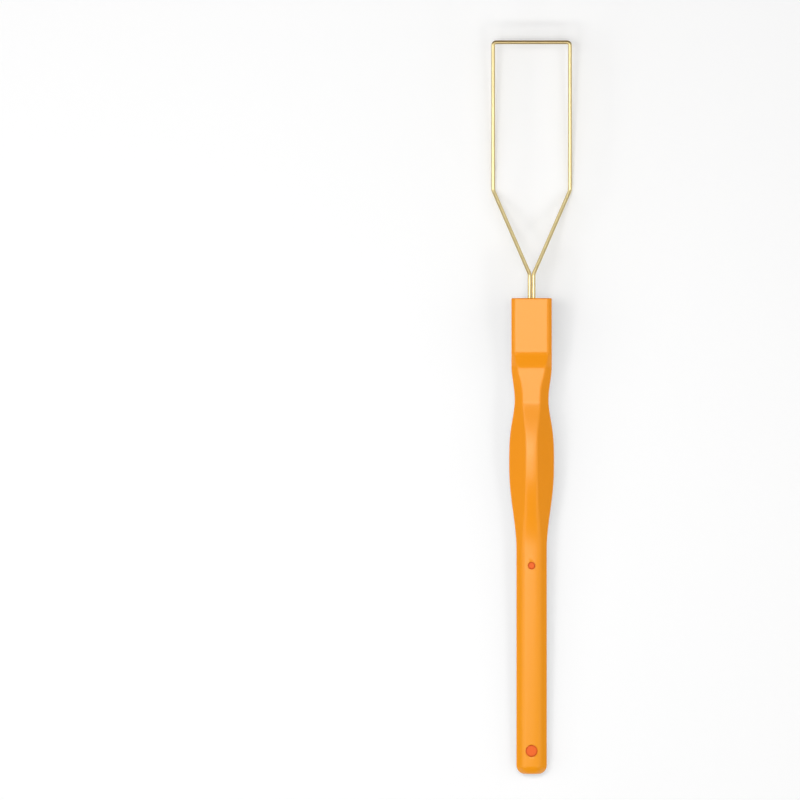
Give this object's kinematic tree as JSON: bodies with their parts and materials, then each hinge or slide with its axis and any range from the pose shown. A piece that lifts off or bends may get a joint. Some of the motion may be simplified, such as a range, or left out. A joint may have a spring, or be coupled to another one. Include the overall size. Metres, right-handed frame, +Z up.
{
  "type": "keycap puller",
  "caption": "Wire keycap puller with a slim moulded orange handle, a shaped grip and a pair of gold spring-wire loops.",
  "frame": {"origin": "Centre of the object's footprint, on the table that it lies on.", "axes": "+Y runs along the handle towards the wire loops, +X across the handle, +Z up from the table, on the side of the handle's front face with the plugs."},
  "size_m": [0.02, 0.182, 0.021],
  "materials": {
    "orange_moulding": "satin",
    "gold_wire": "polished",
    "red_orange_plug": "satin"
  },
  "bodies": {
    "root": {"handle": "orange_moulding", "front_loop": "gold_wire", "back_loop": "gold_wire", "small_plug": "red_orange_plug", "end_plug": "red_orange_plug"}
  },
  "joints": []
}
